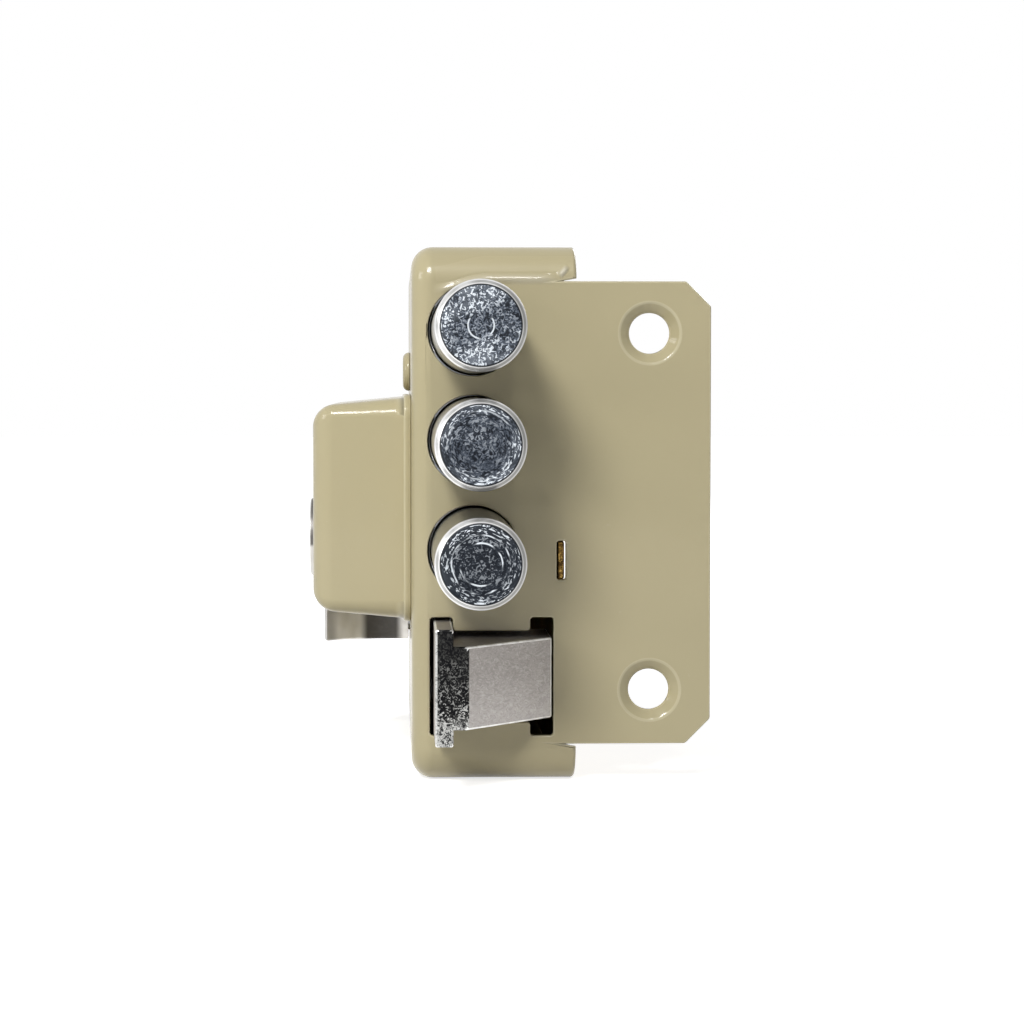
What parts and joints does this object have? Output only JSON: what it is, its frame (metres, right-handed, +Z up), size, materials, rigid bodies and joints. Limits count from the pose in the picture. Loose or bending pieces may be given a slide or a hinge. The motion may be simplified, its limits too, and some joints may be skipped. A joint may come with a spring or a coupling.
{
  "type": "rim lock",
  "caption": "Rim lock for a door leaf with round dead bolts, a bevelled spring latch, a key cylinder in a raised housing and a side thumb piece.",
  "frame": {"origin": "midway between the two edge screws, on the face of the flange that seats on the door edge", "axes": "+X to the outside of the door, +Y from the door edge into the leaf, +Z up"},
  "size_m": [0.086, 0.1314, 0.1124],
  "materials": {
    "beige_paint": "gloss paint on steel",
    "bolt_steel": "turned, zinc plated",
    "latch_steel": "cast and ground, plated",
    "yellow_zinc": "zinc plated and yellow passivated",
    "chrome": "polished",
    "cylinder_brass": "machined",
    "spring_steel": "drawn spring wire",
    "gear_steel": "sintered steel",
    "bright_zinc": "bright zinc plated"
  },
  "bodies": {
    "case": {"case": "beige_paint", "housing": "beige_paint", "guide_stud": "beige_paint", "bolt_guide": "bright_zinc", "latch_bracket": "bright_zinc", "stud_clip": "spring_steel", "gear_post": "bright_zinc", "gear_clip": "spring_steel", "drive_bush": "cylinder_brass", "door_posts": "bright_zinc", "cover_posts": "bright_zinc", "cover_plate": "yellow_zinc", "cover_screws": "bright_zinc", "housing_screws": "bright_zinc", "cylinder_body": "chrome", "cylinder_nut": "cylinder_brass"},
    "bolts": {"carriage": "yellow_zinc", "upper_bolt": "bolt_steel", "middle_bolt": "bolt_steel", "lower_bolt": "bolt_steel", "bolt_screws": "bright_zinc"},
    "latch": {"latch_bolt": "latch_steel", "latch_tail": "bright_zinc", "tail_rivet": "bright_zinc", "spring_rod": "bright_zinc", "latch_spring": "spring_steel", "thumb_piece": "chrome", "thumb_screw": "bright_zinc"},
    "key_drive": {"cylinder_plug": "cylinder_brass", "tail_blade": "bright_zinc", "drive_gear": "gear_steel", "shaft_clip": "spring_steel"},
    "reduction": {"reduction_gear": "gear_steel"}
  },
  "joints": [
    {"name": "bolt_throw", "type": "slide", "parent": "case", "child": "bolts", "axis": [0, 1, 0], "range_m": [0, 0.03298]},
    {"name": "latch_slide", "type": "slide", "parent": "case", "child": "latch", "axis": [0, 1, 0], "range_m": [0, 0.0155], "stiffness_N_per_m": 1500, "springref_m": -0.005, "deforming": ["latch_spring"]},
    {"name": "key_turn", "type": "hinge", "parent": "case", "child": "key_drive", "pos_m": [-0.06, 0.06234, -0.0096], "axis": [1, 0, 0], "range_deg": [0, 721]},
    {"name": "reduction_turn", "type": "hinge", "parent": "case", "child": "reduction", "pos_m": [-0.0236, 0.051, 0.0034], "axis": [1, 0, 0], "range_deg": [-316, 0]}
  ],
  "couplings": [
    {"joint": "key_turn", "follows": "bolt_throw", "rad_per_m": 380.95},
    {"joint": "reduction_turn", "follows": "bolt_throw", "rad_per_m": -166.67}
  ]
}
